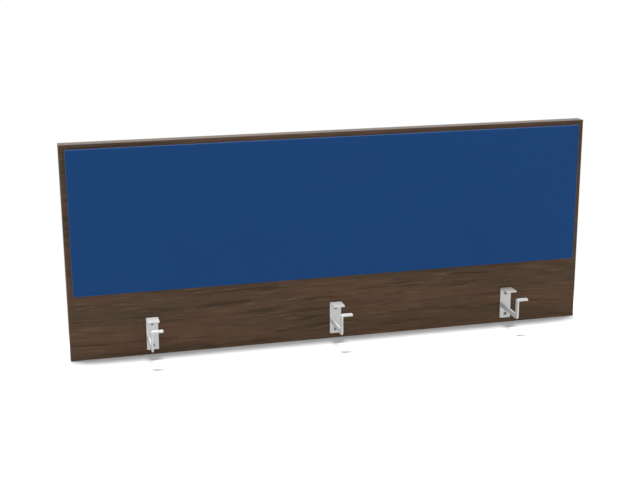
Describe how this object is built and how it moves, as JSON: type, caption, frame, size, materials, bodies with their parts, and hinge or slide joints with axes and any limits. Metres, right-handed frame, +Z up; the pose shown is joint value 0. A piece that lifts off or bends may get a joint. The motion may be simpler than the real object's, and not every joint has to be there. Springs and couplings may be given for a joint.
{
  "type": "desk privacy panel",
  "caption": "Long laminated desk privacy panel with a fabric-covered upper pad and hook brackets along its lower edge that screw up into the underside of a desktop.",
  "frame": {"origin": "middle of the board's bottom edge face, half way through its thickness", "axes": "+X along the panel, +Z up, -Y towards the side with the pad and the hooks"},
  "size_m": [1.6, 0.173, 0.64],
  "materials": {
    "walnut_face": "walnut decor laminate, satin, grain along the panel",
    "walnut_edge": "walnut decor edge band, satin, grain along the edge",
    "chipboard": "raw pressed wood chips",
    "fibreboard": "plain pressed fibreboard",
    "foam": "soft open-cell foam",
    "blue_fabric": "fine plain-weave upholstery fabric, matte",
    "staple_wire": "galvanised wire",
    "clip_plastic": "moulded nylon",
    "powder_coat": "fine-textured light grey powder coat",
    "zinc_screw": "bright zinc plate",
    "zinc_insert": "zinc plate"
  },
  "bodies": {
    "root": {"board_core": "chipboard", "front_laminate": "walnut_face", "back_laminate": "walnut_face", "edge_band_top": "walnut_edge", "edge_band_bottom": "walnut_edge", "edge_band_left": "walnut_edge", "edge_band_right": "walnut_edge", "pad_board": "fibreboard", "pad_foam": "foam", "pad_fabric": "blue_fabric", "pad_staples": "staple_wire", "pad_clip_studs": "clip_plastic", "pad_clip_sockets": "clip_plastic", "bracket_left": "powder_coat", "bracket_screws_left": "zinc_screw", "threaded_inserts_left": "zinc_insert", "bracket_centre": "powder_coat", "bracket_screws_centre": "zinc_screw", "threaded_inserts_centre": "zinc_insert", "bracket_right": "powder_coat", "bracket_screws_right": "zinc_screw", "threaded_inserts_right": "zinc_insert"}
  },
  "joints": []
}
